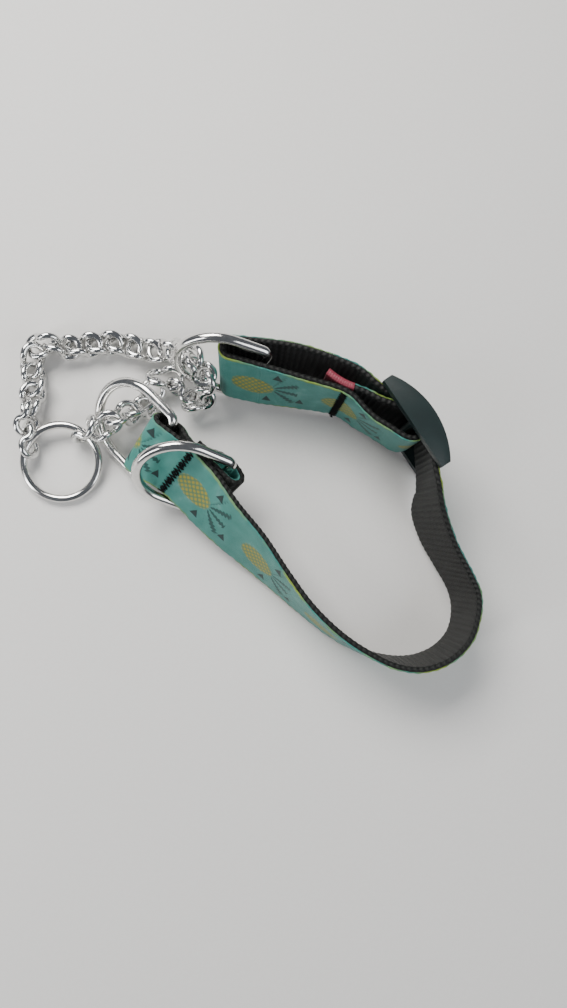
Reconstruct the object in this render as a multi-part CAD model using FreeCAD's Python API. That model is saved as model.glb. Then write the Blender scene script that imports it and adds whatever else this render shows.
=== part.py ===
import FreeCAD, Part
import math
import os

# Martingale collar: a loop of ribbon-faced webbing with a sliding adjuster, and a loop of
# curb chain that runs through the two end rings and carries the leash ring.
# Millimetres, +Z up. The collar stands on the strap's edge; the origin is on the ground
# under the middle of its bounding box. Places below are measured from the leash ring's
# centre, and every solid is moved by the same amount at the end.

Vector = FreeCAD.Vector
UP = Vector(0, 0, 1)

# ---------------------------------------------------------------- driving dimensions
STRAP_WIDTH = 25.0
WEBBING = 1.8              # webbing thickness
RIBBON = 0.5               # patterned ribbon sewn on its outer face
STRAP = WEBBING + RIBBON
LAYER_GAP = 0.12           # between two layers of strap that lie on each other
FOLD_GAP = 0.25            # between a ring's bar and the strap folded round it

CHAIN_WIRE = 2.4
LINK_WIDTH = 9.6           # over the wire
LINK_LENGTH = 14.2
LINK_TWIST = 32.0          # each end of a curb link is turned this far from the flat
LINK_PLAY = 0.2            # clear space kept between two links
LINK_REACH = LINK_LENGTH / 2
SETTLE_POINTS = 10         # points taken round each end of a link while it settles
SETTLE_ROUNDS = 160
SETTLED = 0.01             # overlap that is small enough to stop at

RING_WIRE = 2.8            # leash ring
RING_OUTER = 29.3
RING_TILT = 8.0            # its far side rests on the chain

D_WIRE = 3.5               # the three D-rings are alike
D_INNER = 26.4
D_LEG = 12.2               # straight leg between bar and arch
D_CORNER = 2.6             # bend radius between bar and leg, on the wire's centre line

SLIDER_LENGTH = 34.6       # along the strap
SLIDER_RAIL = 3.6          # height of each side rail
SLIDER_DEPTH = 8.6         # rail depth at mid length
SLIDER_END = 3.3           # rail depth at its ends
SLIDER_BAR = 1.4           # radius of the two end bars
SLIDER_MIDDLE_BAR = 1.6

TACK_DEPTH = 0.45          # how far a bar tack stands out of the strap
TACK_LENGTH = 2.4
TACK_SECTION = 5           # section of the near run that the right tack crosses

BINDING_LENGTH = 2.4       # tape on the cut tail

# Derived: one layer of strap on another, and a fold round a ring's bar.
LAYER = STRAP + LAYER_GAP
FOLD_RADIUS = D_WIRE / 2 + FOLD_GAP + STRAP / 2
TAG_BAR_DEPTH = LAYER + FOLD_RADIUS
RING_RADIUS = (RING_OUTER - RING_WIRE) / 2

# ---------------------------------------------------------------- places
# Strap stations: x, y, z of the lower edge, then how far the upper edge stands beside it
# in x and y. The rest of the width is height, so a station also sets lean and twist.
BODY_ROUTE = [
    (24.8, -3.8, 6.8, 12.3, 14.7),
    (30.4, -7.2, 7.2, 12.6, 13.6),
    (36.4, -10.9, 7.4, 12.8, 12.4),
    (43.2, -17.3, 7.2, 13.2, 11.0),
    (53.0, -26.8, 5.0, 10.6, 10.2),
    (64.2, -35.8, 2.4, 8.0, 8.6),
    (75.0, -44.4, 0.6, 4.8, 5.6),
    (86.1, -53.6, 0.3, 2.2, 3.0),
    (97.0, -62.0, 0.3, 1.2, 1.8),
    (108.0, -67.8, 0.3, 0.5, 0.8),
    (117.0, -70.4, 0.3, 0.1, -0.4),
    (126.0, -70.6, 0.3, 0.1, -1.0),
    (134.5, -67.6, 0.3, 0.3, -0.9),
    (140.6, -61.5, 0.3, 0.9, -0.5),
    (142.6, -53.5, 0.3, 1.9, 0.0),
    (141.2, -45.5, 0.3, 3.6, -0.9),
    (136.6, -37.0, 0.3, 5.4, -2.2),
    (131.2, -27.5, 0.6, 6.2, -2.6),
    (128.0, -18.5, 1.6, 5.6, -1.6),
    (128.3, -13.0, 2.8, 3.4, -0.6),
    (129.9, -8.6, 4.0, 0.8, 0.0),
]
FAR_ROUTE = [
    (110.5, 23.7, 4.0, 0.0, 0.0),
    (104.6, 27.0, 4.0, 0.9, 1.3),
    (97.6, 29.2, 4.0, 1.5, 2.5),
    (83.2, 31.7, 4.0, 1.0, 5.0),
    (70.8, 31.1, 5.0, 0.2, 7.4),
    (61.2, 30.7, 6.6, -0.2, 8.2),
]
NEAR_ROUTE = [
    (61.2, 24.0, 6.6, -0.2, 8.2),
    (70.8, 22.4, 5.0, 0.2, 7.4),
    (84.0, 21.0, 4.0, 1.0, 5.0),
    (97.8, 19.0, 4.0, 1.6, 2.5),
    (105.2, 14.6, 4.0, 0.7, 0.8),
    (109.5, 12.1, 4.0, 0.0, 0.0),
    (113.2, 9.9, 4.0, 0.0, 0.0),
]
TAIL_ROUTE = [
    (116.0, 17.3, 4.0, 0.0, 0.0),
    (110.8, 19.2, 4.0, 0.0, 0.0),
    (104.8, 20.6, 4.0, 0.8, 1.2),
    (98.6, 21.3, 4.0, 1.6, 2.5),
    (95.0, 22.6, 4.0, 1.6, 3.2),
    (92.0, 24.4, 4.0, 1.4, 3.8),
]
STEPS = 3                  # sections made between two stations
FOLD_STEPS = 8             # sections round a fold

# The slider's own frame: u along the strap, v outwards from the neck.
SLIDER_MIDDLE = Vector(120.9, 9.7, 0)
SLIDER_U = Vector(0.555, -0.832, 0).normalize()
SLIDER_V = Vector(0.832, 0.555, 0).normalize()
PASS_ROUTE = [(-17.0, -0.7), (-14.5, 0.4), (-9.0, 3.2), (-4.0, 6.2), (0.0, 7.15),
              (4.0, 6.4), (9.0, 3.7), (14.5, 0.5), (17.0, -0.7)]
WRAP_ROUTE = [(-4.0, -6.1), (-1.0, -4.8), (2.2, -3.3), (4.4, -1.0), (4.8, 1.4),
              (3.2, 3.7), (0.0, 4.6), (-4.0, 3.3)]
MIDDLE_BAR = (0.0, 1.6)
END_BAR = (15.3, 3.2)
STRAP_FLOOR = 4.0          # the slider's lower rail lifts the strap by this much

# Where the rings hang: distance along the body from the left fold, and the ring's swing
# about its bar, measured from straight off the strap's end.
LEFT_RING_PLACE = 2.8
TACK_PLACE = 14.4
TAG_PLACE = 25.8
POCKET_SLACK = 2.6         # the tag ring's pocket runs on this far beyond the ring's bar
POCKET_SAG = 3.0           # degrees that the pocket's upper edge hangs away from the body
LEFT_RING_SWING = 7.5
TAG_RING_SWING = -38.0
RIGHT_RING_BAR = Vector(68.1, 30.1, 15.2)
RIGHT_RING_BAR_LEAN = (0.39, 0.25)
RIGHT_RING_REACH = Vector(-0.91, 0.20, 0.35)

# Links of the chain, in order from the leash ring's left round to its right:
# rough middle x, y, z and roll about the link's own length in degrees.
CHAIN_ROUTE = [
    (-11.2, 7.6, 4.8, 95),
    (-11.6, 15.3, 4.8, 65),
    (-10.5, 23.4, 5.0, -15),
    (-9.9, 28.7, 3.7, 5),
    (-10.8, 36.4, 4.2, 0),
    (-7.2, 41.4, 6.0, 45),
    (0.0, 41.1, 4.4, -35),
    (7.4, 42.3, 3.9, 0),
    (14.9, 43.6, 3.8, 0),
    (22.2, 43.3, 3.9, 0),
    (29.4, 41.0, 4.6, 0),
    (36.2, 40.2, 6.0, 35),
    (41.9, 38.6, 9.8, 50),
    (45.6, 35.5, 15.0, 10),
    (49.0, 30.5, 17.2, -30),
    (53.4, 26.1, 13.1, 85),
    (48.7, 22.9, 7.8, 0),
    (42.5, 24.4, 5.6, 80),
    (36.9, 30.2, 8.2, 10),
    (31.3, 24.0, 5.5, 0),
    (27.7, 18.5, 5.6, 25),
    (22.3, 16.7, 10.4, 20),
    (16.9, 13.3, 9.1, -5),
    (10.6, 11.1, 4.9, 85),
]


# ---------------------------------------------------------------- small helpers
def blend(points, t):
    """Smooth curve through four neighbouring values, t from 0 to 1 between the middle two."""
    a, b, c, d = points
    return 0.5 * (2 * b + (c - a) * t + (2 * a - 5 * b + 4 * c - d) * t ** 2
                  + (3 * b - a - 3 * c + d) * t ** 3)


def refine(route, steps):
    """The route's rows with steps - 1 more rows put smoothly between each two."""
    ends = [tuple(2 * p - q for p, q in zip(route[0], route[1]))]
    tail = [tuple(2 * p - q for p, q in zip(route[-1], route[-2]))]
    rows = ends + list(route) + tail
    out = []
    for i in range(1, len(rows) - 2):
        for k in range(steps):
            columns = zip(rows[i - 1], rows[i], rows[i + 1], rows[i + 2])
            out.append(tuple(blend(column, k / steps) for column in columns))
    out.append(tuple(route[-1]))
    return out


def unit(vector):
    return Vector(vector).normalize()


def solid_between(wires):
    """A closed solid with straight sides from each wire to the next."""
    return Part.makeLoft(wires, True, True)


# ---------------------------------------------------------------- the strap
def edge_line(row):
    """(middle of the strap, unit vector across it) for one station."""
    x, y, z, dx, dy = row
    across = Vector(dx, dy, math.sqrt(STRAP_WIDTH ** 2 - dx ** 2 - dy ** 2))
    return Vector(x, y, z) + across * 0.5, across * (1 / STRAP_WIDTH)


def frames(lines):
    """(middle, across, outward, along) at each line, from its neighbours."""
    out = []
    for i, (middle, across) in enumerate(lines):
        before = lines[max(i - 1, 0)][0]
        after = lines[min(i + 1, len(lines) - 1)][0]
        along = (after - before).normalize()
        outward = along.cross(across).normalize()
        out.append((middle, across, outward, across.cross(outward)))
    return out


def route_lines(route):
    return [edge_line(row) for row in refine(route, STEPS)]


def slider_point(u, v, z=0.0):
    return SLIDER_MIDDLE + SLIDER_U * u + SLIDER_V * v + Vector(0, 0, z)


def slider_lines(route):
    middle = STRAP_FLOOR + STRAP_WIDTH / 2
    return [(slider_point(u, v, middle), UP) for u, v in refine(route, STEPS)]


def frame_at(strip_frames, distance):
    """The strap's frame at a distance along its middle, interpolated."""
    left = distance
    for (m0, a0, n0, t0), (m1, a1, n1, t1) in zip(strip_frames, strip_frames[1:]):
        step = (m1 - m0).Length
        if left <= step:
            k = left / step
            mix = [p + (q - p) * k for p, q in ((m0, m1), (a0, a1), (n0, n1), (t0, t1))]
            return mix[0], mix[1].normalize(), mix[2].normalize(), mix[3].normalize()
        left -= step
    return strip_frames[-1]


def turn(centre, first, second, radius, angles):
    """Points on an arc, with its angle measured from first towards second."""
    out = []
    for degrees in angles:
        a = math.radians(degrees)
        out.append(centre + (first * math.cos(a) + second * math.sin(a)) * radius)
    return out


def strip(strip_frames, inner, outer, width):
    """A flat strip that follows the frames, between two distances out from its middle."""
    wires = []
    for middle, across, outward, _ in strip_frames:
        half = across * (width / 2)
        corners = [middle - half + outward * inner, middle + half + outward * inner,
                   middle + half + outward * outer, middle - half + outward * outer]
        wires.append(Part.makePolygon(corners + corners[:1]))
    return solid_between(wires)


def fold_lines(centre, across, first, reach, radius):
    """Lines round a half turn about centre, from first through reach; ends left out."""
    angles = [180.0 * i / FOLD_STEPS for i in range(1, FOLD_STEPS)]
    return [(point, across) for point in turn(centre, first, reach, radius, angles)]


def under_frame(body, distance, depth, sag=0.0):
    """(middle, across, outward, along) of a layer that lies under the body.

    depth is below the body's middle; sag, in degrees, lets the layer's upper edge hang
    further away while its lower edge keeps that depth."""
    middle, across, outward, along = frame_at(body, distance)
    a = math.radians(sag)
    down = middle - outward * (depth + STRAP_WIDTH / 2 * math.sin(a))
    lean = across * math.cos(a) - outward * math.sin(a)
    return down, lean, along.cross(lean), along


def strap_runs(body):
    """The webbing as runs of joined stretches, in order from its cut end."""
    pocket_end = TAG_PLACE + POCKET_SLACK
    deep = TAG_BAR_DEPTH + FOLD_RADIUS
    bottom = [(TACK_PLACE - 1.5, 2 * LAYER, 0), (TACK_PLACE + 2.0, 2 * LAYER + 0.3, 0),
              (TAG_PLACE - 5.5, deep - 0.9, POCKET_SAG / 2), (TAG_PLACE - 2.0, deep, POCKET_SAG),
              (pocket_end, deep, POCKET_SAG)]
    top = [(pocket_end, LAYER, POCKET_SAG), (TACK_PLACE, LAYER, 0),
           (LEFT_RING_PLACE + 7.0, LAYER + 1.1, 0),
           (LEFT_RING_PLACE + 2.5, 2 * FOLD_RADIUS, 0), (0.0, 2 * FOLD_RADIUS, 0)]
    under = [under_frame(body, *row)[:2] for row in bottom]
    tag, across, outward, along = under_frame(body, pocket_end, TAG_BAR_DEPTH, POCKET_SAG)
    under += fold_lines(tag, across, outward * -1.0, along, FOLD_RADIUS)
    under += [under_frame(body, *row)[:2] for row in top]
    left, across, outward, along = under_frame(body, 0.0, FOLD_RADIUS)
    fold = fold_lines(left, across, outward * -1.0, along * -1.0, FOLD_RADIUS)
    body_lines = route_lines(BODY_ROUTE)
    half = 9 * STEPS
    far, near = route_lines(FAR_ROUTE), route_lines(NEAR_ROUTE)
    nose_radius = (far[-1][0] - near[0][0]).Length / 2
    nose_centre = (far[-1][0] + near[0][0]) * 0.5
    nose_first = (far[-1][0] - nose_centre).normalize()
    nose = fold_lines(nose_centre, near[0][1], nose_first, Vector(-1, 0, 0), nose_radius)
    wrap = slider_lines(WRAP_ROUTE)
    return [
        [("under_layer", under), ("left_fold", fold), ("body_left", body_lines[:half]),
         ("body_bend", body_lines[half:])],
        [("slider_pass", slider_lines(PASS_ROUTE)[::-1])],
        [("far_run", far), ("right_fold", nose), ("near_join", near[:4])],
        [("near_run", near[4:]), ("bar_wrap", wrap), ("tail", route_lines(TAIL_ROUTE))],
    ]


def strap_frames(runs):
    """Frames of every named stretch; neighbours in a run share their end section."""
    out = {}
    for run in runs:
        whole = frames([line for _, lines in run for line in lines])
        start = 0
        for name, lines in run:
            end = start + len(lines)
            out[name] = whole[start:end + 1]
            start = end
    return out


def bar_tack(frame, side):
    """A block of close stitches across the strap, proud of one face."""
    middle, across, outward, along = frame
    rows = [(middle + along * d, across, outward, along) for d in (-TACK_LENGTH / 2, TACK_LENGTH / 2)]
    face = STRAP / 2
    spans = (face, face + TACK_DEPTH) if side > 0 else (-face - TACK_DEPTH, -face)
    return strip(rows, spans[0], spans[1], STRAP_WIDTH - 2.4)


def tail_binding(frame):
    """The folded tape that finishes the cut tail."""
    middle, across, outward, along = frame
    rows = [(middle + along * d, across, outward, along) for d in (0.0, BINDING_LENGTH)]
    return strip(rows, -STRAP / 2 - 0.3, STRAP / 2 + 0.3, STRAP_WIDTH + 0.4)


# ---------------------------------------------------------------- wire parts
def disc(middle, normal, radius):
    return Part.Face(Part.Wire(Part.makeCircle(radius, middle, normal)))


def bend(start, tangent, centre, axis, degrees, radius):
    """A bent piece of wire, turned about an axis through centre."""
    return disc(start, tangent, radius).revolve(centre, axis, degrees)


def rod(start, end, radius):
    return Part.makeCylinder(radius, (end - start).Length, start, end - start)


def joined(solids):
    return solids[0].multiFuse(solids[1:]).removeSplitter().Solids[0]


def set_down(origin, x_axis, y_axis):
    """Placement that lays a part's own X and Y along the given directions."""
    return FreeCAD.Placement(origin, FreeCAD.Rotation(x_axis, y_axis, x_axis.cross(y_axis), "YXZ"))


def placed(shape, placement):
    copy = shape.copy()
    copy.Placement = placement
    return copy


D_HALF = (D_INNER + D_WIRE) / 2        # bar and legs, middle to middle of the wire


def d_ring():
    """A bent and welded D: bar on the Y axis, arch towards +X."""
    r, c, h = D_WIRE / 2, D_CORNER, D_HALF
    x, y, z = Vector(1, 0, 0), Vector(0, 1, 0), UP
    pieces = [rod(Vector(0, c - h, 0), Vector(0, h - c, 0), r)]
    for side in (-1, 1):
        pieces.append(rod(Vector(c, side * h, 0), Vector(D_LEG, side * h, 0), r))
        pieces.append(bend(Vector(0, side * (h - c), 0), y, Vector(c, side * (h - c), 0), z,
                           -90 * side, r))
    pieces.append(bend(Vector(D_LEG, -h, 0), x, Vector(D_LEG, 0, 0), z, 180, r))
    return joined(pieces)


LINK_BEND = (LINK_WIDTH - CHAIN_WIRE) / 2               # radius of a link's ends
LINK_HALF = (LINK_LENGTH - CHAIN_WIRE) / 2 - LINK_BEND  # middle of the link to an end's centre


def link_ends():
    """For each end of a link: its centre, its direction, and the arc's own cross direction."""
    a = math.radians(LINK_TWIST)
    out = []
    for side in (1, -1):
        cross = Vector(0, math.cos(a), side * math.sin(a))
        out.append((Vector(side * LINK_HALF, 0, 0), Vector(side, 0, 0), cross))
    return out


def link_side():
    """(radius, angle) of the two arcs that join the ends along each side of a link."""
    run = LINK_HALF
    rise = LINK_BEND * math.sin(math.radians(LINK_TWIST))
    radius = (run ** 2 + rise ** 2) / (2 * rise)
    return radius, math.degrees(math.asin(run / radius))


def chain_link():
    """One twisted curb link, its length along X."""
    wire = CHAIN_WIRE / 2
    pieces = []
    for centre, ahead, cross in link_ends():
        start = centre - cross * LINK_BEND
        pieces.append(bend(start, ahead, centre, ahead.cross(cross), 180, wire))
    radius, angle = link_side()
    low = LINK_BEND * math.sin(math.radians(LINK_TWIST))
    for side in (1, -1):
        y = side * LINK_BEND * math.cos(math.radians(LINK_TWIST))
        for end in (-1, 1):
            start = Vector(end * LINK_HALF, y, end * side * low)
            centre = start + Vector(0, 0, -end * side * radius)
            pieces.append(bend(start, Vector(1, 0, 0), centre, Vector(0, -1, 0), side * angle, wire))
    return joined(pieces)


def link_line(count):
    """Points along the middle of a link's wire."""
    points = []
    radius, angle = link_side()
    low = LINK_BEND * math.sin(math.radians(LINK_TWIST))
    for centre, ahead, cross in link_ends():
        angles = [-90 + 180 * i / count for i in range(count + 1)]
        points += turn(centre, ahead, cross, LINK_BEND, angles)
    for side in (1, -1):
        y = side * LINK_BEND * math.cos(math.radians(LINK_TWIST))
        for end in (-1, 1):
            centre = Vector(end * LINK_HALF, y, end * side * (low - radius))
            toward = Vector(0, 0, end * side)
            points += turn(centre, toward, Vector(-end, 0, 0), radius, [angle / 2, angle])
    return points


# ---------------------------------------------------------------- the chain's lie
def link_placement(middle, ahead, roll):
    """A link's placement, its length along ahead, rolled from lying flat."""
    flat = UP.cross(ahead)
    if flat.Length < 0.2:
        flat = Vector(0, 1, 0)
    flat.normalize()
    lift = ahead.cross(flat)
    a = math.radians(roll)
    return set_down(middle, ahead, flat * math.cos(a) + lift * math.sin(a))


def laid_chain():
    """Links set along the chain's route, each turned from its neighbour before to the next."""
    middles = [Vector(*row[:3]) for row in CHAIN_ROUTE]
    out = []
    for i, row in enumerate(CHAIN_ROUTE):
        before = middles[max(i - 1, 0)]
        after = middles[min(i + 1, len(middles) - 1)]
        out.append(link_placement(middles[i], unit(after - before), row[3]))
    return out


def push(link, point, move):
    """A link moved and turned a little so that its point gives way by move."""
    arm = point - link.Base
    turning = arm.cross(move)
    angle = math.degrees(turning.Length) / LINK_REACH ** 2
    base = link.Base + move * 0.7
    if angle < 1e-4:
        return FreeCAD.Placement(base, link.Rotation)
    spin = FreeCAD.Rotation(turning, angle)
    return FreeCAD.Placement(base, spin.multiply(link.Rotation))


def closest(one, other):
    """(distance, point, other point) of the nearest two points of two lists."""
    best = (1e9, None, None)
    for p in one:
        for q in other:
            d = p.distanceToPoint(q)
            if d < best[0]:
                best = (d, p, q)
    return best


def settle(links, obstacles, rounds):
    """Push links apart, off the obstacles and up off the ground, until nothing touches.

    obstacles are (points, clear distance) pairs that stay where they are."""
    line = link_line(SETTLE_POINTS)
    lines = [[link.multVec(p) for p in line] for link in links]
    for _ in range(rounds):
        worst = 0.0
        for i in range(len(links)):
            contacts = []
            for j in range(i + 1, len(links)):
                if links[i].Base.distanceToPoint(links[j].Base) < LINK_LENGTH:
                    d, p, q = closest(lines[i], lines[j])
                    contacts.append((j, CHAIN_WIRE + LINK_PLAY - d, p, q))
            for points, clear in obstacles:
                near = [q for q in points if q.distanceToPoint(links[i].Base) < LINK_REACH + clear]
                if near:
                    d, p, q = closest(lines[i], near)
                    contacts.append((None, clear - d, p, q))
            low = min(lines[i], key=lambda point: point.z)
            contacts.append((None, CHAIN_WIRE / 2 - low.z, low, low - UP))
            for j, depth, p, q in contacts:
                if depth <= 0:
                    continue
                worst = max(worst, depth)
                away = unit(p - q) * depth
                share = 1.0 if j is None else 0.5
                links[i] = push(links[i], p, away * share)
                lines[i] = [links[i].multVec(point) for point in line]
                if j is not None:
                    links[j] = push(links[j], q, away * -share)
                    lines[j] = [links[j].multVec(point) for point in line]
        if worst < SETTLED:
            break
    return links


def wire_points(placement, radius_points):
    return [placement.multVec(p) for p in radius_points]


def d_ring_line():
    """Points along the middle of a D-ring's wire."""
    points = [Vector(0, D_HALF * i / 8, 0) for i in range(-8, 9)]
    for side in (-1, 1):
        points += [Vector(D_LEG * i / 8, side * D_HALF, 0) for i in range(1, 9)]
    arch = [-90 + 180 * i / 30 for i in range(31)]
    return points + turn(Vector(D_LEG, 0, 0), Vector(1, 0, 0), Vector(0, 1, 0), D_HALF, arch)


def strap_points(strip_frames):
    """Points over the middle of a strip, for keeping the chain off it."""
    out = []
    for middle, across, _, _ in strip_frames:
        out += [middle + across * (STRAP_WIDTH * i / 20) for i in range(-10, 11, 2)]
    return out


# ---------------------------------------------------------------- the adjuster
def rail_outline():
    """One side rail seen along the strap's width: straight inside, bowed outside."""
    half = SLIDER_LENGTH / 2
    a, b = slider_point(-half, 0), slider_point(half, 0)
    c, d = slider_point(half, SLIDER_END), slider_point(-half, SLIDER_END)
    bow = Part.Arc(c, slider_point(0, SLIDER_DEPTH), d).toShape()
    sides = [Part.LineSegment(d, a).toShape(), Part.LineSegment(a, b).toShape()]
    return Part.Face(Part.Wire(sides + [Part.LineSegment(b, c).toShape(), bow]))


def slider():
    """The moulded adjuster: two bowed rails joined by two end bars and a middle bar."""
    height = STRAP_WIDTH + 2 * STRAP_FLOOR
    rail = rail_outline().extrude(Vector(0, 0, SLIDER_RAIL))
    pieces = [rail, rail.translated(Vector(0, 0, height - SLIDER_RAIL))]
    u, v = END_BAR
    for place, radius in (((-u, v), SLIDER_BAR), ((u, v), SLIDER_BAR), (MIDDLE_BAR, SLIDER_MIDDLE_BAR)):
        pieces.append(rod(slider_point(*place, 1.0), slider_point(*place, height - 1.0), radius))
    return joined(pieces)


# ---------------------------------------------------------------- everything in place
def ring_placements(body):
    """Where the three D-rings sit: left and tag in their folds, right in the strap's loop."""
    out = {}
    for name, distance, depth, sag, swing in (
            ("d_ring_left", LEFT_RING_PLACE, FOLD_RADIUS, 0.0, LEFT_RING_SWING),
            ("d_ring_tag", TAG_PLACE, TAG_BAR_DEPTH, POCKET_SAG, TAG_RING_SWING)):
        middle, across, outward, along = under_frame(body, distance, depth, sag)
        a = math.radians(swing)
        reach = along * -math.cos(a) - outward * math.sin(a)
        out[name] = set_down(middle, unit(reach), across)
    dx, dy = RIGHT_RING_BAR_LEAN
    across = unit(Vector(dx, dy, math.sqrt(1 - dx ** 2 - dy ** 2)))
    reach = RIGHT_RING_REACH - across * RIGHT_RING_REACH.dot(across)
    out["d_ring_right"] = set_down(RIGHT_RING_BAR, unit(reach), across)
    return out


def design():
    """Every place that the parts and their joints need, measured from the leash ring."""
    body = frames(route_lines(BODY_ROUTE))
    stretches = strap_frames(strap_runs(body))
    rings = ring_placements(body)
    tilt = FreeCAD.Rotation(Vector(1, 0, 0), RING_TILT)
    rest = RING_WIRE / 2 + RING_RADIUS * math.sin(math.radians(RING_TILT))
    rings["o_ring"] = FreeCAD.Placement(Vector(0, 0, rest), tilt)
    flat_ring = turn(Vector(0, 0, 0), Vector(1, 0, 0), Vector(0, 1, 0), RING_RADIUS,
                     [7.5 * i for i in range(48)])
    circle = wire_points(rings["o_ring"], flat_ring)
    obstacles = [(circle, (CHAIN_WIRE + RING_WIRE) / 2 + LINK_PLAY)]
    wire = (CHAIN_WIRE + D_WIRE) / 2 + LINK_PLAY
    for name in ("d_ring_left", "d_ring_right", "d_ring_tag"):
        obstacles.append((wire_points(rings[name], d_ring_line()), wire))
    flat = (CHAIN_WIRE + STRAP) / 2 + 3 * LINK_PLAY
    for name in ("left_fold", "body_left", "right_fold", "near_join"):
        obstacles.append((strap_points(stretches[name]), flat))
    links = settle(laid_chain(), obstacles, SETTLE_ROUNDS)
    return {"body": body, "stretches": stretches, "rings": rings, "links": links}


def build(plan):
    """Every part's solid by name, still measured from the leash ring."""
    nodes = {}
    face = WEBBING - STRAP / 2
    for name, strip_frames in plan["stretches"].items():
        nodes["webbing_" + name] = strip(strip_frames, -STRAP / 2, face, STRAP_WIDTH)
        nodes["ribbon_" + name] = strip(strip_frames, face, STRAP / 2, STRAP_WIDTH - 1.0)
    nodes["bar_tack_left"] = bar_tack(frame_at(plan["body"], TACK_PLACE), 1)
    nodes["bar_tack_right"] = bar_tack(plan["stretches"]["near_run"][TACK_SECTION], 1)
    nodes["tail_binding"] = tail_binding(plan["stretches"]["tail"][-1])
    nodes["slider"] = slider()
    d_shape, o_shape = d_ring(), Part.makeTorus(RING_RADIUS, RING_WIRE / 2)
    for name, placement in plan["rings"].items():
        nodes[name] = placed(o_shape if name == "o_ring" else d_shape, placement)
    link = chain_link()
    for number, placement in enumerate(plan["links"], 1):
        nodes[f"chain_link_{number:02d}"] = placed(link, placement)
    return nodes


def origin_of(nodes):
    """The point on the ground under the middle of everything."""
    box = FreeCAD.BoundBox()
    for shape in nodes.values():
        box.add(shape.optimalBoundingBox(True))
    return Vector(box.Center.x, box.Center.y, box.ZMin)


def main():
    nodes = build(design())
    origin = origin_of(nodes)
    os.makedirs("parts", exist_ok=True)
    for name, shape in nodes.items():
        shape.translated(origin * -1.0).exportStep(f"parts/{name}.step")
    print(len(nodes), "parts; leash ring's centre is", origin * -1.0)


main()
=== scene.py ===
import math
import random

import bpy
from mathutils import Matrix, Vector

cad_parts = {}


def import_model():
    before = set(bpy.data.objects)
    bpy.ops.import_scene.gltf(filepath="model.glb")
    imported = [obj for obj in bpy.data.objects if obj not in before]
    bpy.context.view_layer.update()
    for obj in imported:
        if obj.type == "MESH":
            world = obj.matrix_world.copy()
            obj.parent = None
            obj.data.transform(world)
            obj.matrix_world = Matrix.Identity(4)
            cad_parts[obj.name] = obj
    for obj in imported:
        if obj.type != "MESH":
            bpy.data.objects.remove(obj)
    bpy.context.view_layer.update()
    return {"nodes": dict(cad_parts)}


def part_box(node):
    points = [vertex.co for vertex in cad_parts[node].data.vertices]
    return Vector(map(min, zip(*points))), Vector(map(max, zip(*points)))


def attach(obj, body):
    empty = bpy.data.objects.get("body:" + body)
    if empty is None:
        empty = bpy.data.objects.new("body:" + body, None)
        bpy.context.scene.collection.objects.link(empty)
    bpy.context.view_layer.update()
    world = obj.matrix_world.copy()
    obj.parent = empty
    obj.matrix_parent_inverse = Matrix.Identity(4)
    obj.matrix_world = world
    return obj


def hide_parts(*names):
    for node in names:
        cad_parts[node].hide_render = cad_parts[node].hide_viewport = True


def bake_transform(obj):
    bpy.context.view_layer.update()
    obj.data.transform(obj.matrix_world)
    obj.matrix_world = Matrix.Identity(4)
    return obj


# Martingale collar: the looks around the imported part. The strap is one flat woven band with a
# patterned ribbon on its outer face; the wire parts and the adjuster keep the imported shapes.
# Places are in millimetres from the ground under the leash ring's middle; MM turns them to metres.

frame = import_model()
random.seed(7)
MM = 0.001
UP = Vector((0, 0, 1))

# ---------------------------------------------------------------- sizes, mm
STRAP_WIDTH = 25.0
WEBBING = 1.8
RIBBON = 0.5
STRAP = WEBBING + RIBBON
FACE = WEBBING - STRAP / 2          # where the ribbon lies on the webbing, from the strap's middle
LAYER = STRAP + 0.12                # from one layer of the strap to the next
D_WIRE = 3.5
RING_PLAY = 0.25                    # between a D-ring's bar and the strap folded round it
FOLD_RADIUS = D_WIRE / 2 + RING_PLAY + STRAP / 2
TAG_BAR_DEPTH = LAYER + FOLD_RADIUS
RING_REST = 3.244                   # height of the leash ring's centre above the ground

TACK_PLACE = 14.4                   # distances along the body from the left fold
TAG_PLACE = 25.8
LEFT_RING_PLACE = 2.8
POCKET_END = TAG_PLACE + 2.6
POCKET_SAG = 3.0                    # degrees that the pocket's upper edge hangs away
SECTION = 0.5                       # distance between two sections of the strap's mesh
RIB = 2.05                          # pitch of the webbing's weft ribs
MOTIF = 32.0                        # the ribbon's pattern repeats after this length
MOTIF_START = 23.4                  # middle of a pineapple, from the left fold
TIP_LENGTH = 10.0                   # red end of the tail
TIP_SKIN = 0.12                     # thickness that it adds to each face
TIP_WIDTH = STRAP_WIDTH + 0.3

# ---------------------------------------------------------------- the strap's route, mm
# x, y, z of the lower edge, then how far the upper edge stands beside it in x and y.
BODY_ROUTE = [
    (24.8, -3.8, 6.8, 12.3, 14.7), (30.4, -7.2, 7.2, 12.6, 13.6), (36.4, -10.9, 7.4, 12.8, 12.4),
    (43.2, -17.3, 7.2, 13.2, 11.0), (53.0, -26.8, 5.0, 10.6, 10.2), (64.2, -35.8, 2.4, 8.0, 8.6),
    (75.0, -44.4, 0.6, 4.8, 5.6), (86.1, -53.6, 0.3, 2.2, 3.0), (97.0, -62.0, 0.3, 1.2, 1.8),
    (108.0, -67.8, 0.3, 0.5, 0.8), (117.0, -70.4, 0.3, 0.1, -0.4), (126.0, -70.6, 0.3, 0.1, -1.0),
    (134.5, -67.6, 0.3, 0.3, -0.9), (140.6, -61.5, 0.3, 0.9, -0.5), (142.6, -53.5, 0.3, 1.9, 0.0),
    (141.2, -45.5, 0.3, 3.6, -0.9), (136.6, -37.0, 0.3, 5.4, -2.2), (131.2, -27.5, 0.6, 6.2, -2.6),
    (128.0, -18.5, 1.6, 5.6, -1.6), (128.3, -13.0, 2.8, 3.4, -0.6), (129.9, -8.6, 4.0, 0.8, 0.0),
]
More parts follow.
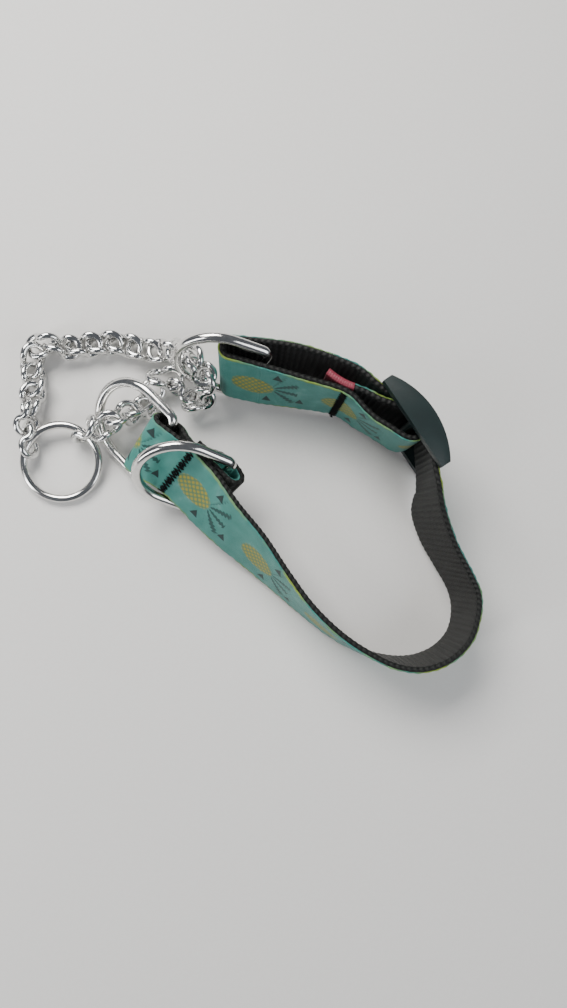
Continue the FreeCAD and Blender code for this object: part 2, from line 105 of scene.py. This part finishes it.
FAR_ROUTE = [
    (110.5, 23.7, 4.0, 0.0, 0.0), (104.6, 27.0, 4.0, 0.9, 1.3), (97.6, 29.2, 4.0, 1.5, 2.5),
    (83.2, 31.7, 4.0, 1.0, 5.0), (70.8, 31.1, 5.0, 0.2, 7.4), (61.2, 30.7, 6.6, -0.2, 8.2),
]
NEAR_ROUTE = [
    (61.2, 24.0, 6.6, -0.2, 8.2), (70.8, 22.4, 5.0, 0.2, 7.4), (84.0, 21.0, 4.0, 1.0, 5.0),
    (97.8, 19.0, 4.0, 1.6, 2.5), (105.2, 14.6, 4.0, 0.7, 0.8), (109.5, 12.1, 4.0, 0.0, 0.0),
    (113.2, 9.9, 4.0, 0.0, 0.0),
]
TAIL_ROUTE = [
    (116.0, 17.3, 4.0, 0.0, 0.0), (110.8, 19.2, 4.0, 0.0, 0.0), (104.8, 20.6, 4.0, 0.8, 1.2),
    (98.6, 21.3, 4.0, 1.6, 2.5), (95.0, 22.6, 4.0, 1.6, 3.2), (92.0, 24.4, 4.0, 1.4, 3.8),
]
STRAP_FLOOR = 4.0                   # the adjuster's lower rail lifts the strap by this much
SLIDER_MIDDLE = Vector((120.9, 9.7, 0))
SLIDER_U = Vector((0.555, -0.832, 0)).normalized()
SLIDER_V = Vector((0.832, 0.555, 0)).normalized()
PASS_ROUTE = [(-17.0, -0.7), (-14.5, 0.4), (-9.0, 3.2), (-4.0, 6.2), (0.0, 7.15),
              (4.0, 6.4), (9.0, 3.7), (14.5, 0.5), (17.0, -0.7)]
WRAP_ROUTE = [(-4.0, -6.1), (-1.0, -4.8), (2.2, -3.3), (4.4, -1.0), (4.8, 1.4),
              (3.2, 3.7), (0.0, 4.6), (-4.0, 3.3)]

# ---------------------------------------------------------------- bar tacks, mm
TACK_MARGIN = 2.2                   # strap width that the stitches leave free
TACK_LIFT = STRAP / 2 + 0.12        # middle of the lower stitches, from the strap's middle
STITCH_WANDER = 0.12                # how far a stitch strays along the strap
# a zigzag's length along the strap, its pitch across it, and how far it lies above the lower stitches
LEFT_ZIGZAGS = [(2.7, 0.85, 0.0), (2.0, 0.62, 0.14)]
RIGHT_ZIGZAGS = [(2.5, 0.85, 0.0), (1.9, 0.62, 0.14)]
# a cut thread's place across the strap, the way it leans and its length
LOOSE_ENDS = [(-11.0, -0.4, 4.0), (-8.0, -0.9, 2.6), (9.0, 0.5, 2.4)]

# ---------------------------------------------------------------- the ribbon's pattern, mm
FRUIT_LENGTH, FRUIT_WIDTH = 7.9, 4.9        # half sizes of a pineapple
LATTICE = 2.3                       # pitch of its diamonds
CROWN_FOOT = 6.4                    # where its leaves start, from the pineapple's middle
CROWN_STEM, CROWN_REACH = 1.4, 11.6         # where the leaves begin and end, from that foot
LEAF_TAPER = 15.0
BARB = 1.5                          # pitch of the barbs along a leaf
CROWN_SPREAD = 1.25                 # half angle that the leaves fan out over, radians
MARKS = [((8.4, 7.4), 1.5), ((5.2, -7.8), 1.4), ((-14.6, -6.2), 1.4)]   # triangles: place, size
YARN_ALONG, YARN_ACROSS = 0.42, 0.5
SELVEDGE_START = 10.9               # from the middle of the ribbon to its green-gold edge

# ---------------------------------------------------------------- colours, linear RGB
WEBBING_DEEP, WEBBING_DUST = (0.0012, 0.0014, 0.0014), (0.004, 0.0045, 0.004)
# the palest webbing colour is a painted highlight laid on the raised rib crests
WEBBING_PAINTED_HIGHLIGHT = (0.014, 0.016, 0.014)
# the palest teal is a painted highlight, laid in pale patches over the ribbon
TEAL_DEEP, TEAL_BRIGHT, TEAL_PAINTED_HIGHLIGHT = (0.018, 0.150, 0.125), (0.085, 0.30, 0.26), (0.19, 0.37, 0.34)
LEAF_GREEN, YARN_SHADE = (0.003, 0.040, 0.036), (0.01, 0.06, 0.055)
GOLD_DEEP, GOLD_BRIGHT = (0.10, 0.15, 0.025), (0.40, 0.31, 0.012)
MARK_BLACK, SELVEDGE_GOLD = (0.002, 0.008, 0.010), (0.26, 0.34, 0.02)
THREAD_DEEP, THREAD_BLACK = (0.0006, 0.0006, 0.0007), (0.004, 0.004, 0.0045)
TIP_DEEP, TIP_RED, TIP_RIM = (0.045, 0.003, 0.007), (0.16, 0.010, 0.022), (0.34, 0.05, 0.08)
PLASTIC_DEEP, PLASTIC_GREEN = (0.004, 0.011, 0.011), (0.008, 0.019, 0.019)
RING_CHROME, CHAIN_CHROME = (0.83, 0.82, 0.80), (0.80, 0.80, 0.79)
FLOOR_SHADE, FLOOR_PALE = (0.70, 0.69, 0.67), (0.74, 0.73, 0.71)
SKY_GREY = (0.42, 0.45, 0.50)

# ---------------------------------------------------------------- stage, light and camera
FLOOR_REACH = 1.6                   # metres
FLOOR_DROP = 0.2                    # mm below the ground that the collar stands on
SKY_POWER = 0.30
# name, place and (width, height) in metres, power in watts, colour; all aim at the origin
LIGHTS = [
    ("window", (-0.25, 0.45, 0.55), (0.5, 0.35), 9.0, (1.0, 0.98, 0.95)),
    ("fill", (0.55, -0.30, 0.50), (0.5, 0.5), 3.0, (0.95, 0.97, 1.0)),
    ("strip", (-0.5, -0.25, 0.30), (0.12, 0.5), 2.0, (1.0, 1.0, 1.0)),
]
SENSOR, LENS = 36.0, 26.43
CAMERA_PLACE = (64.156, -35.84, 271.0)
CAMERA_RIGHT = Vector((0.99828, 0.0, 0.0586))
CAMERA_BACK = Vector((-0.0584, -0.0782, 0.995))

RING_LOW, RING_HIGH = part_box("o_ring")
GROUND_UNDER_RING = (RING_LOW + RING_HIGH) / 2 - UP * RING_REST * MM


def world(point):
    """A point measured in mm from the ground under the leash ring's middle, in the row frame."""
    return GROUND_UNDER_RING + Vector(point) * MM


# ---------------------------------------------------------------- the strap's lines
def edge_line(row):
    """(middle of the strap, unit vector across it) for one station."""
    x, y, z, dx, dy = row
    across = Vector((dx, dy, math.sqrt(STRAP_WIDTH ** 2 - dx ** 2 - dy ** 2)))
    return Vector((x, y, z)) + across * 0.5, across / STRAP_WIDTH


def between(a, b, c, d, t):
    """Smooth curve through four neighbouring values, t from 0 to 1 between the middle two."""
    return 0.5 * (2 * b + (c - a) * t + (2 * a - 5 * b + 4 * c - d) * t ** 2
                  + (3 * b - a - 3 * c + d) * t ** 3)


def smooth_route(rows, steps=3):
    """Rows of a route with more put smoothly between them, as edge lines."""
    rows = [Vector(row) for row in rows]
    rows = [2 * rows[0] - rows[1]] + rows + [2 * rows[-1] - rows[-2]]
    out = []
    for a, b, c, d in zip(rows, rows[1:], rows[2:], rows[3:]):
        out += [between(a, b, c, d, k / steps) for k in range(steps)]
    return out + [rows[-2]]


def route_lines(route):
    return [edge_line(row) for row in smooth_route(route)]


def slider_point(u, v, z=0.0):
    return SLIDER_MIDDLE + SLIDER_U * u + SLIDER_V * v + UP * z


def slider_lines(route):
    middle = STRAP_FLOOR + STRAP_WIDTH / 2
    return [(slider_point(row[0], row[1], middle), UP.copy()) for row in smooth_route(route)]


def frames_of(lines):
    """(middle, across, outward, along) at each line, from its neighbours."""
    out = []
    for i, (middle, across) in enumerate(lines):
        before, after = lines[max(i - 1, 0)][0], lines[min(i + 1, len(lines) - 1)][0]
        outward = (after - before).cross(across).normalized()
        out.append((middle, across, outward, across.cross(outward)))
    return out


def frame_at(strap, distance):
    """The strap's frame at a distance along its middle, interpolated."""
    left = distance
    for one, two in zip(strap, strap[1:]):
        step = (two[0] - one[0]).length
        if left <= step:
            mixed = [p.lerp(q, left / step) for p, q in zip(one, two)]
            return mixed[0], *[v.normalized() for v in mixed[1:]]
        left -= step
    return strap[-1]


def fold_lines(centre, across, first, reach, radius, count=15):
    """Lines round a half turn about centre, from first through reach; ends left out."""
    out = []
    for i in range(1, count):
        a = math.pi * i / count
        out.append((centre + (first * math.cos(a) + reach * math.sin(a)) * radius, across))
    return out


def under_frame(body, distance, depth, sag=0.0):
    """Frame of a layer that lies under the body; sag lets its upper edge hang away."""
    middle, across, outward, along = frame_at(body, distance)
    a = math.radians(sag)
    down = middle - outward * (depth + STRAP_WIDTH / 2 * math.sin(a))
    lean = across * math.cos(a) - outward * math.sin(a)
    return down, lean, along.cross(lean), along


def strap_line():
    """The whole strap from its cut end to its tail: (name, lines) of each stretch."""
    body = frames_of(route_lines(BODY_ROUTE))
    deep = TAG_BAR_DEPTH + FOLD_RADIUS
    bottom = [(TACK_PLACE - 1.5, 2 * LAYER, 0), (TACK_PLACE + 2.0, 2 * LAYER + 0.3, 0),
              (TAG_PLACE - 5.5, deep - 0.9, POCKET_SAG / 2), (TAG_PLACE - 2.0, deep, POCKET_SAG),
              (POCKET_END, deep, POCKET_SAG)]
    top = [(POCKET_END, LAYER, POCKET_SAG), (TACK_PLACE, LAYER, 0),
           (LEFT_RING_PLACE + 7.0, LAYER + 1.1, 0),
           (LEFT_RING_PLACE + 2.5, 2 * FOLD_RADIUS, 0), (0.0, 2 * FOLD_RADIUS, 0)]
    under = [under_frame(body, *row)[:2] for row in bottom]
    tag, across, outward, along = under_frame(body, POCKET_END, TAG_BAR_DEPTH, POCKET_SAG)
    under += fold_lines(tag, across, -outward, along, FOLD_RADIUS)
    under += [under_frame(body, *row)[:2] for row in top]
    left, across, outward, along = under_frame(body, 0.0, FOLD_RADIUS)
    fold = fold_lines(left, across, -outward, -along, FOLD_RADIUS)
    far, near = route_lines(FAR_ROUTE), route_lines(NEAR_ROUTE)
    nose_middle = (far[-1][0] + near[0][0]) / 2
    nose_first = far[-1][0] - nose_middle
    nose = fold_lines(nose_middle, near[0][1], nose_first.normalized(), Vector((-1, 0, 0)),
                      nose_first.length)
    bend = slider_lines(PASS_ROUTE)[::-1]
    half = len(bend) // 2
    return [("under", under), ("fold", fold), ("body", route_lines(BODY_ROUTE)[:-4]),
            ("to_slider", route_lines(BODY_ROUTE)[-4:-1] + bend[2:half]),
            ("from_slider", bend[half:-2] + far[1:7]), ("far", far[7:]), ("nose", nose),
            ("near_start", near[:3]), ("near", near[3:]), ("wrap", slider_lines(WRAP_ROUTE)),
            ("tail", route_lines(TAIL_ROUTE))]


def resample(lines):
    """Frames every SECTION along smooth curves through the lines, and each line's distance."""
    places = [0.0]
    for (p, _), (q, _) in zip(lines, lines[1:]):
        places.append(places[-1] + (q - p).length)
    points = [p for p, _ in lines]
    acrosses = [a for _, a in lines]
    count = round(places[-1] / SECTION)
    out, i = [], 0
    for k in range(count + 1):
        place = places[-1] * k / count
        while i < len(lines) - 2 and place > places[i + 1]:
            i += 1
        t = (place - places[i]) / (places[i + 1] - places[i])
        around = [max(i - 1, 0), i, i + 1, min(i + 2, len(lines) - 1)]
        out.append((between(*[points[j] for j in around], t),
                    between(*[acrosses[j] for j in around], t).normalized()))
    sections = [(axes, places[-1] * k / count) for k, axes in enumerate(frames_of(out))]
    return sections, places


# ---------------------------------------------------------------- mesh work
def rounded_profile(low, high, width, corner):
    """Corner-rounded outline of a flat band: (across, outward) pairs in mm."""
    out = []
    edges = [-width / 2 + corner + (width - 2 * corner) * i / 20 for i in range(21)]
    out += [(x, low) for x in edges]
    middle, half = (low + high) / 2, (high - low) / 2
    for i in range(1, 6):
        a = math.pi * i / 6
        out.append((width / 2 - corner + corner * math.sin(a), middle - half * math.cos(a)))
    out += [(x, high) for x in reversed(edges)]
    for i in range(1, 6):
        a = math.pi * i / 6
        out.append((-width / 2 + corner - corner * math.sin(a), middle + half * math.cos(a)))
    return out


def band(name, sections, outline, shape=None):
    """A closed flat band through the sections. shape(x, n, s) may move an outline point."""
    verts, coords, faces = [], [], []
    ring = len(outline)
    for (middle, across, outward, _), s in sections:
        for x, n in outline:
            px, pn = shape(x, n, s) if shape else (x, n)
            verts.append(world(middle + across * px + outward * pn))
            coords.append((s, x, n))
    for i in range(len(sections) - 1):
        for j in range(ring):
            k = (j + 1) % ring
            faces.append((i * ring + j, i * ring + k, (i + 1) * ring + k, (i + 1) * ring + j))
    faces.append(tuple(range(ring))[::-1])
    faces.append(tuple((len(sections) - 1) * ring + j for j in range(ring)))
    mesh = bpy.data.meshes.new(name)
    mesh.from_pydata(verts, [], faces)
    attribute = mesh.attributes.new("strap", "FLOAT_VECTOR", "POINT")
    attribute.data.foreach_set("vector", [c for point in coords for c in point])
    mesh.polygons.foreach_set("use_smooth", [True] * (len(faces) - 2) + [False] * 2)
    mesh.update()
    piece = bpy.data.objects.new(name, mesh)
    bpy.context.scene.collection.objects.link(piece)
    return piece


def thread(name, runs, radius, material):
    """Sewing thread along each run of points in mm."""
    curve = bpy.data.curves.new(name, "CURVE")
    curve.dimensions = "3D"
    curve.bevel_depth = radius * MM
    curve.bevel_resolution = 3
    for points in runs:
        spline = curve.splines.new("POLY")
        spline.points.add(len(points) - 1)
        for target, point in zip(spline.points, points):
            target.co = (*world(point), 1)
    piece = bpy.data.objects.new(name, curve)
    bpy.context.scene.collection.objects.link(piece)
    piece.data.materials.append(material)
    return piece


# ---------------------------------------------------------------- materials
class Field:
    """A value worked out by shader nodes, written as ordinary arithmetic."""

    def __init__(self, tree, socket):
        self.tree, self.socket = tree, socket

    def math(self, operation, *others, clamp=False):
        node = self.tree.nodes.new("ShaderNodeMath")
        node.operation = operation
        node.use_clamp = clamp
        for slot, value in zip(node.inputs, (self, *others)):
            if isinstance(value, Field):
                self.tree.links.new(value.socket, slot)
            else:
                slot.default_value = value
        return Field(self.tree, node.outputs[0])

    def __add__(self, other):
        return self.math("ADD", other)

    def __sub__(self, other):
        return self.math("SUBTRACT", other)

    def __mul__(self, other):
        return self.math("MULTIPLY", other)

    def __truediv__(self, other):
        return self.math("DIVIDE", other)

    def abs(self):
        return self.math("ABSOLUTE")

    def wave(self, pitch):
        """Cosine of that pitch, from 0 to 1."""
        return (self * (2 * math.pi / pitch)).math("COSINE") * 0.5 + 0.5

    def step(self, sharpness):
        """0 below zero, rising to 1 over 1 / sharpness."""
        return (self * sharpness).math("ADD", 0.0, clamp=True)

    def least(self, other):
        return self.math("MINIMUM", other)

    def most(self, other):
        return self.math("MAXIMUM", other)


class Paint:
    """A material being built: its node tree, strap coordinates, noise, mixing and finish."""

    def __init__(self, name):
        self.material = bpy.data.materials.new(name)
        self.material.use_nodes = True
        self.tree = self.material.node_tree
        self.shader = self.tree.nodes["Principled BSDF"]

    def strap(self):
        """(distance along, distance across, distance out) of the strap, in mm."""
        node = self.tree.nodes.new("ShaderNodeAttribute")
        node.attribute_name = "strap"
        split = self.tree.nodes.new("ShaderNodeSeparateXYZ")
        self.tree.links.new(node.outputs["Vector"], split.inputs[0])
        return [Field(self.tree, socket) for socket in split.outputs]

    def noise(self, size, detail=3.0):
        """Noise from 0 to 1 with features of about size mm."""
        place = self.tree.nodes.new("ShaderNodeTexCoord")
        node = self.tree.nodes.new("ShaderNodeTexNoise")
        node.inputs["Scale"].default_value = 1 / (size * MM)
        node.inputs["Detail"].default_value = detail
        self.tree.links.new(place.outputs["Object"], node.inputs["Vector"])
        return Field(self.tree, node.outputs["Fac"])

    def mix(self, amount, first, second):
        """Colour mixed from first to second; either may be a colour or a mixed socket."""
        node = self.tree.nodes.new("ShaderNodeMix")
        node.data_type = "RGBA"
        self.tree.links.new(amount.socket, node.inputs[0])
        for slot, value in ((node.inputs[6], first), (node.inputs[7], second)):
            if isinstance(value, tuple):
                slot.default_value = (*value, 1)
            else:
                self.tree.links.new(value, slot)
        return node.outputs[2]

    def colour(self, value):
        if isinstance(value, tuple):
            self.shader.inputs["Base Color"].default_value = (*value, 1)
        else:
            self.tree.links.new(value, self.shader.inputs["Base Color"])

    def relief(self, height, depth):
        """Bump whose full height is depth mm."""
        node = self.tree.nodes.new("ShaderNodeBump")
        node.inputs["Distance"].default_value = depth * MM
        self.tree.links.new(height.socket, node.inputs["Height"])
        self.tree.links.new(node.outputs[0], self.shader.inputs["Normal"])

    def set(self, **values):
        for name, value in values.items():
            slot = self.shader.inputs[name.replace("_", " ").title().replace("Ior", "IOR")]
            if isinstance(value, Field):
                self.tree.links.new(value.socket, slot)
            else:
                slot.default_value = value


def webbing_material():
    """Black nylon webbing: weft ribs across it, fine warp threads along it, dusty flecks at random,
    and painted highlights on the raised crests.
    """
    paint = Paint("webbing_black")
    s, x, _ = paint.strap()
    warp = x.wave(0.9)
    ribs = (s + warp * 0.5).wave(RIB)
    fuzz = paint.noise(0.35, 4)
    height = ribs * 0.7 + warp * 0.15 + fuzz * 0.25
    low = paint.mix(fuzz, WEBBING_DEEP, WEBBING_DUST)
    # painted highlight: the webbing turns paler where its relief stands highest, on the rib crests
    paint.colour(paint.mix((height - 0.55).step(2.2), low, WEBBING_PAINTED_HIGHLIGHT))
    paint.relief(height, 0.32)
    paint.set(roughness=0.6, sheen_weight=0.03, sheen_roughness=0.5, specular_ior_level=0.28)
    return paint.material


def triangle(p, y, place, size):
    """Mask of a small triangle with its point towards the upper edge."""
    dx, dy = (p - place[0]).abs(), y - place[1]
    return (dy * -0.5 + size - dx).least(dy + size * 0.6).step(6.0)


def ribbon_material():
    """Teal jacquard ribbon: gold pineapples with palm crowns, small triangles, green-gold edges."""
    paint = Paint("ribbon_pattern")
    s, x, _ = paint.strap()
    wobble = paint.noise(3.0, 2)
    p = (s - (MOTIF_START - MOTIF / 2)).math("FLOORED_MODULO", MOTIF) - MOTIF / 2
    y = x + (wobble - 0.5) * 0.8
    thread_run = (s.wave(YARN_ALONG) + x.wave(YARN_ACROSS)) * 0.5
    cloud = paint.noise(5.5, 3)

    oval = (p / FRUIT_LENGTH).math("POWER", 2) + (y / FRUIT_WIDTH).math("POWER", 2)
    fruit = (oval * -1.0 + 1.0).step(5.0)
    lattice = ((p + y).wave(LATTICE) * (p - y).wave(LATTICE)).math("SQRT")

    dx, dy = p - CROWN_FOOT, y
    reach = (dx * dx + dy * dy).math("SQRT")
    angle = dy.math("ARCTAN2", dx)
    leaf = (angle * 10.0 + 0.6).math("COSINE") + 0.35 - reach / LEAF_TAPER
    barbs = (reach + angle.abs() * 3.0).wave(BARB) * 0.7
    crown = (leaf - barbs + 0.3).step(3.0) * (reach - CROWN_STEM).step(1.5)
    crown = crown * (reach * -1.0 + CROWN_REACH).step(1.0)
    crown = crown * (angle.abs() * -1.0 + CROWN_SPREAD).step(4.0)

    first, *others = [triangle(p, y, place, size) for place, size in MARKS]
    marks = first
    for mark in others:
        marks = marks.most(mark)

    teal = paint.mix(cloud, TEAL_DEEP, TEAL_BRIGHT)
    # painted highlight: pale teal patches where the cloud noise runs high
    teal = paint.mix((cloud - 0.62).step(4.0) * 0.5, teal, TEAL_PAINTED_HIGHLIGHT)
    colour = paint.mix(crown * 0.92, teal, LEAF_GREEN)
    gold = paint.mix(lattice, GOLD_DEEP, GOLD_BRIGHT)
    colour = paint.mix(fruit * (lattice * 0.35 + 0.62), colour, gold)
    colour = paint.mix(marks * 0.95, colour, MARK_BLACK)
    edge = (x.abs() - SELVEDGE_START).step(2.0) * (paint.noise(14.0, 1) - 0.42).step(5.0)
    colour = paint.mix(edge * 0.85, colour, SELVEDGE_GOLD)
    colour = paint.mix(thread_run * 0.22, colour, YARN_SHADE)
    paint.colour(colour)
    paint.relief(thread_run * 0.5 + fruit * 0.25 + crown * 0.2 + cloud * 0.7, 0.16)
    paint.set(roughness=0.5, sheen_weight=0.06, sheen_roughness=0.4, specular_ior_level=0.3)
    return paint.material


def thread_material():
    """Black sewing thread with the twist of its plies."""
    paint = Paint("thread_black")
    ply = paint.noise(0.12, 2)
    paint.colour(paint.mix(ply, THREAD_DEEP, THREAD_BLACK))
    paint.relief(ply, 0.05)
    paint.set(roughness=0.6, specular_ior_level=0.2)
    return paint.material


def tip_material():
    """The heat-sealed tail: dark red with a paler, pinker rim."""
    paint = Paint("tail_red")
    s, x, _ = paint.strap()
    fuzz = paint.noise(0.6, 3)
    base = paint.mix(fuzz, TIP_DEEP, TIP_RED)
    paint.colour(paint.mix((x - 11.6).step(1.5) * fuzz, base, TIP_RIM))
    paint.relief(s.wave(0.8) * 0.5 + fuzz * 0.5, 0.15)
    paint.set(roughness=0.5, sheen_weight=0.03)
    return paint.material


def chrome_material(name, tone):
    """Plated wire: bright, with faint tumbling marks and a slightly uneven plate."""
    paint = Paint(name)
    wear = paint.noise(1.6, 4)
    paint.colour(paint.mix(wear, tuple(c * 0.7 for c in tone), tone))
    paint.relief(wear, 0.010)
    paint.set(metallic=1.0, roughness=wear * 0.12 + 0.09)
    return paint.material


def slider_material():
    """Moulded black-green plastic with a fine spark-eroded grain."""
    paint = Paint("slider_plastic")
    grain = paint.noise(0.22, 3)
    broad = paint.noise(6.0, 2)
    paint.colour(paint.mix(broad, PLASTIC_DEEP, PLASTIC_GREEN))
    paint.relief(grain, 0.05)
    paint.set(roughness=grain * 0.16 + 0.34)
    return paint.material


def floor_material():
    """Plain pale paper."""
    paint = Paint("floor_pale")
    paper = paint.noise(1.5, 3)
    paint.colour(paint.mix(paper, FLOOR_SHADE, FLOOR_PALE))
    paint.relief(paper, 0.03)
    paint.set(roughness=0.75)
    return paint.material


# ---------------------------------------------------------------- the strap's pieces
def webbing_shape(x, n, s):
    """The weave's relief: ribs on both faces, and a bead at each end of a rib on the selvedge."""
    rib = math.cos(2 * math.pi * s / RIB)
    rim = max(0.0, abs(x) - STRAP_WIDTH / 2 + 0.8)
    return x * (1 + 0.004 * rib * (rim > 0)), n * (1 + 0.07 * rib)


def ribbon_shape(x, n, s):
    """The ribbon puckers a little between stitches, most at its edges."""
    pucker = math.sin(2 * math.pi * s / 3.1) * 0.10 + math.sin(2 * math.pi * s / 7.7 + x * 0.3) * 0.08
    rim = (abs(x) / (STRAP_WIDTH / 2)) ** 4
    return x + 0.10 * math.sin(2 * math.pi * s / 4.3) * rim, n + pucker * rim * (n > FACE + 0.1)


WEBBING_OUTLINE = rounded_profile(-STRAP / 2, FACE, STRAP_WIDTH, 0.8)
RIBBON_OUTLINE = rounded_profile(FACE - 0.05, STRAP / 2 - 0.02, STRAP_WIDTH - 1.2, 0.25)

# stretches joined into one piece, the bodies it rides on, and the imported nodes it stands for
PIECES = [
    ("strap_left", ("under", "fold", "body"), ("collar",),
     ("under_layer", "left_fold", "body_left", "body_bend")),
    ("strap_to_slider", ("to_slider",), ("collar", "adjuster"), ()),
    ("strap_from_slider", ("from_slider",), ("adjuster", "collar"), ("slider_pass",)),
    ("strap_far", ("far", "nose", "near_start"), ("collar",),
     ("far_run", "right_fold", "near_join")),
    ("strap_near", ("near",), ("collar", "adjuster"), ("near_run",)),
    ("strap_tail", ("wrap", "tail"), ("adjuster",), ("bar_wrap", "tail")),
]


def strap_pieces():
    """Builds the strap's pieces; returns the whole strap's sections, from the left fold."""
    stretches = strap_line()
    lines, starts = [], {}
    for name, stretch in stretches:
        starts[name] = len(lines)
        lines += stretch
    sections, places = resample(lines)
    order = [name for name, _ in stretches]
    start_of = {name: places[index] for name, index in starts.items()}
    zero = start_of["body"]
    sections = [(axes, s - zero) for axes, s in sections]
    margin = SECTION * 0.6
    layers = [("webbing", WEBBING_OUTLINE, webbing_shape, webbing_material()),
              ("ribbon", RIBBON_OUTLINE, ribbon_shape, ribbon_material())]
    for name, parts, bodies, nodes in PIECES:
        low = start_of[parts[0]] - zero
        after = order.index(parts[-1]) + 1
        high = start_of[order[after]] - zero if after < len(order) else sections[-1][1]
        run = [section for section in sections if low - margin <= section[1] <= high + margin]
        for layer, outline, shape, material in layers:
            piece = band(f"{name}_{layer}", run, outline, shape)
            piece.data.materials.append(material)
            if len(bodies) == 1:
                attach(piece, bodies[0])
            else:
                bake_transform(piece)
            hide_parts(*[f"{layer}_{node}" for node in nodes])
    return sections


def zigzag(section, length, pitch, lift):
    """Close zigzag stitches across the strap at one section, on its outer face."""
    middle, across, outward, along = section
    width = STRAP_WIDTH - TACK_MARGIN
    count = int(width / pitch)
    points = []
    for i in range(count + 1):
        side = 1 if i % 2 else -1
        jitter = random.uniform(-STITCH_WANDER, STITCH_WANDER)
        x = -width / 2 + width * i / count
        points.append(middle + across * x + along * (side * length / 2 + jitter)
                      + outward * (TACK_LIFT + lift))
    return points


def loose_end(section, x, direction, length):
    """A cut thread that curls away from the tack."""
    middle, across, outward, along = section
    points = []
    for i in range(9):
        t = i / 8
        curl = math.sin(t * 4.0 + direction) * 0.9
        points.append(middle + across * (x + direction * length * t) + along * curl * t
                      + outward * (STRAP / 2 + 0.25 + 0.5 * math.sin(t * 3.0)))
    return points


def tacks(sections):
    """The stitches of the two bar tacks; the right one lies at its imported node."""
    thread_black = thread_material()
    left = min(sections, key=lambda section: abs(section[1] - TACK_PLACE))[0]
    runs = [zigzag(left, *row) for row in LEFT_ZIGZAGS]
    piece = thread("tack_left_stitches", runs, 0.26, thread_black)
    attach(piece, "collar")
    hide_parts("bar_tack_left")
    low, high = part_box("bar_tack_right")
    target = (low + high) / 2
    right = min(sections, key=lambda section: (world(section[0][0]) - target).length)[0]
    runs = [zigzag(right, *row) for row in RIGHT_ZIGZAGS]
    runs += [loose_end(right, *row) for row in LOOSE_ENDS]
    piece = thread("tack_right_stitches", runs, 0.24, thread_black)
    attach(piece, "adjuster")
    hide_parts("bar_tack_right")


def tail_tip(sections):
    """The red-sealed end of the tail, wrapped round the last of the strap."""
    end = [section for section in sections if section[1] > sections[-1][1] - TIP_LENGTH]
    outline = rounded_profile(-STRAP / 2 - TIP_SKIN, STRAP / 2 + TIP_SKIN, TIP_WIDTH, 0.9)
    piece = band("tail_tip", end, outline)
    piece.data.materials.append(tip_material())
    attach(piece, "adjuster")
    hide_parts("tail_binding")


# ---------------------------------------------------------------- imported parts
def finish_packed():
    """Smooth shading and better materials for the wire parts and the adjuster."""
    rings = chrome_material("chrome_ring", RING_CHROME)
    chain = chrome_material("chrome_chain", CHAIN_CHROME)
    plastic = slider_material()
    for name, node in frame["nodes"].items():
        if name.startswith("chain_link"):
            material = chain
        elif name == "o_ring" or name.startswith("d_ring"):
            material = rings
        elif name == "slider":
            material = plastic
        else:
            continue
        node.data.materials.clear()
        node.data.materials.append(material)
        weld = node.modifiers.new("weld", "WELD")
        weld.merge_threshold = 0.00002
        if name == "slider":
            bevel = node.modifiers.new("edges", "BEVEL")
            bevel.width = 0.0007
            bevel.segments = 4
            bevel.limit_method = "ANGLE"
            bevel.harden_normals = True
        node.data.polygons.foreach_set("use_smooth", [True] * len(node.data.polygons))


# ---------------------------------------------------------------- the scene
def area(name, place, size, power, colour):
    """A rectangular light that aims at the origin."""
    light = bpy.data.lights.new(name, "AREA")
    light.shape = "RECTANGLE"
    light.size, light.size_y = size
    light.energy = power
    light.color = colour
    lamp = bpy.data.objects.new(name, light)
    lamp.location = place
    lamp.rotation_euler = (-Vector(place)).to_track_quat("-Z", "Y").to_euler()
    bpy.context.scene.collection.objects.link(lamp)


def stage():
    """The floor, the grey surroundings and the lights."""
    corners = [(-1, -1), (1, -1), (1, 1), (-1, 1)]
    verts = [(x * FLOOR_REACH, y * FLOOR_REACH, -FLOOR_DROP * MM) for x, y in corners]
    floor_mesh = bpy.data.meshes.new("floor")
    floor_mesh.from_pydata(verts, [], [(0, 1, 2, 3)])
    floor = bpy.data.objects.new("floor", floor_mesh)
    bpy.context.scene.collection.objects.link(floor)
    floor_mesh.materials.append(floor_material())
    sky = bpy.data.worlds.new("studio")
    sky.use_nodes = True
    background = sky.node_tree.nodes["Background"]
    background.inputs[0].default_value = (*SKY_GREY, 1)
    background.inputs[1].default_value = SKY_POWER
    bpy.context.scene.world = sky
    for row in LIGHTS:
        area(*row)


def camera():
    """The camera, above the collar and nearly straight down."""
    lens = bpy.data.cameras.new("camera")
    lens.sensor_width = SENSOR
    lens.lens = LENS
    lens.clip_start = 0.01
    eye = bpy.data.objects.new("camera", lens)
    right = CAMERA_RIGHT.normalized()
    back = CAMERA_BACK.normalized()
    up = back.cross(right).normalized()
    right = up.cross(back)
    turn = Matrix((right, up, back)).transposed().to_4x4()
    eye.matrix_world = Matrix.Translation(world(CAMERA_PLACE)) @ turn
    bpy.context.scene.collection.objects.link(eye)
    bpy.context.scene.camera = eye


strap = strap_pieces()
tacks(strap)
tail_tip(strap)
finish_packed()
stage()
camera()
bpy.context.view_layer.update()
